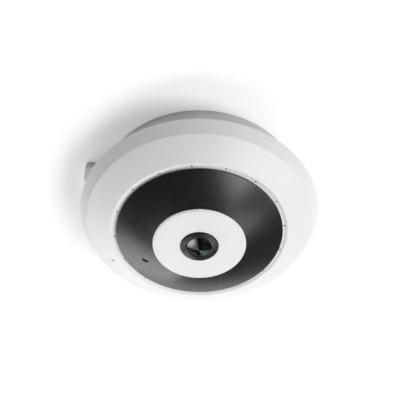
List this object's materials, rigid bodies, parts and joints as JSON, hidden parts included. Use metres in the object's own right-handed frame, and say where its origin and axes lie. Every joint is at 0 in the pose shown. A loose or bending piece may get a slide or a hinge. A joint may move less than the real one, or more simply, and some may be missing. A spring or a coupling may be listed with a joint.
{
  "type": "fisheye ceiling camera",
  "caption": "Round low-profile indoor network camera with a fisheye lens, a dark infrared window ring, a conical white shell and a turn-to-lock mounting plate.",
  "frame": {"origin": "centre of the mounting face, on the lens axis", "axes": "+Z from the mounting face towards the lens, which is the viewing direction; +X towards the microphone hole and the light sensor hole; the port bay is on the -Y side and the plate's cable gate on the +X side"},
  "size_m": [0.128, 0.128, 0.0512],
  "materials": {
    "shell_white": "fine satin texture",
    "window_black": "polished, infrared clear",
    "bezel_black": "satin",
    "black_plastic": "moulded",
    "barrel_black": "black anodised",
    "lens_glass": "coated, polished",
    "filter_glass": "coated",
    "led_clear": "clear resin",
    "board_green": "solder mask",
    "chip_black": "moulded resin",
    "steel": "plated",
    "heat_sink": "extruded",
    "copper": "enamelled wire",
    "film_amber": "polyimide film",
    "lead_black": "flexible sleeve",
    "cream_plastic": "moulded",
    "button_grey": "moulded",
    "cone_black": "pressed film"
  },
  "bodies": {
    "mount": {"mount_plate": "shell_white"},
    "camera": {"rear_cover": "shell_white", "front_shell": "shell_white", "window_ring": "window_black", "lens_disc": "shell_white", "lens_bezel": "bezel_black", "front_lens": "lens_glass", "inner_lenses": "lens_glass", "lens_spacers": "barrel_black", "lens_barrel": "barrel_black", "lens_holder": "black_plastic", "filter_housing": "black_plastic", "filter_coil": "copper", "filter_yoke": "steel", "image_sensor": "chip_black", "sensor_board": "board_green", "inner_frame": "black_plastic", "led_board": "board_green", "infrared_leds": "led_clear", "light_sensor": "chip_black", "main_board": "board_green", "processor": "chip_black", "heat_sink": "heat_sink", "network_jack": "steel", "network_transformer": "chip_black", "power_jack": "black_plastic", "card_socket": "steel", "reset_switch": "black_plastic", "speaker": "steel", "speaker_cone": "cone_black", "side_board": "board_green", "microphone": "copper", "status_light": "led_clear", "board_connectors": "cream_plastic", "sensor_ribbon": "film_amber", "led_ribbon": "film_amber", "speaker_ribbon": "lead_black", "side_ribbon": "lead_black", "board_screws": "steel", "frame_screws": "steel", "shell_screws": "steel"},
    "filter": {"filter_slide": "black_plastic", "filter_panes": "filter_glass"},
    "rotor": {"filter_rotor": "steel"},
    "button": {"reset_button": "button_grey"}
  },
  "joints": [
    {"name": "twist_lock", "type": "hinge", "parent": "mount", "child": "camera", "pos_m": [0, 0, 0], "axis": [0, 0, 1], "range_deg": [0, 30]},
    {"name": "filter_swing", "type": "hinge", "parent": "camera", "child": "rotor", "pos_m": [0, 0.00867, 0.0309], "axis": [0, 0, -1], "range_deg": [0, 80]},
    {"name": "filter_shift", "type": "slide", "parent": "camera", "child": "filter", "axis": [-1, 0, 0], "range_m": [0, 0.006]},
    {"name": "reset_press", "type": "slide", "parent": "camera", "child": "button", "axis": [0, 1, 0], "range_m": [0, 0.0005], "stiffness_N_per_m": 800, "springref_m": -0.001}
  ],
  "couplings": [
    {"joint": "filter_swing", "follows": "filter_shift", "rad_per_m": 232.7}
  ]
}
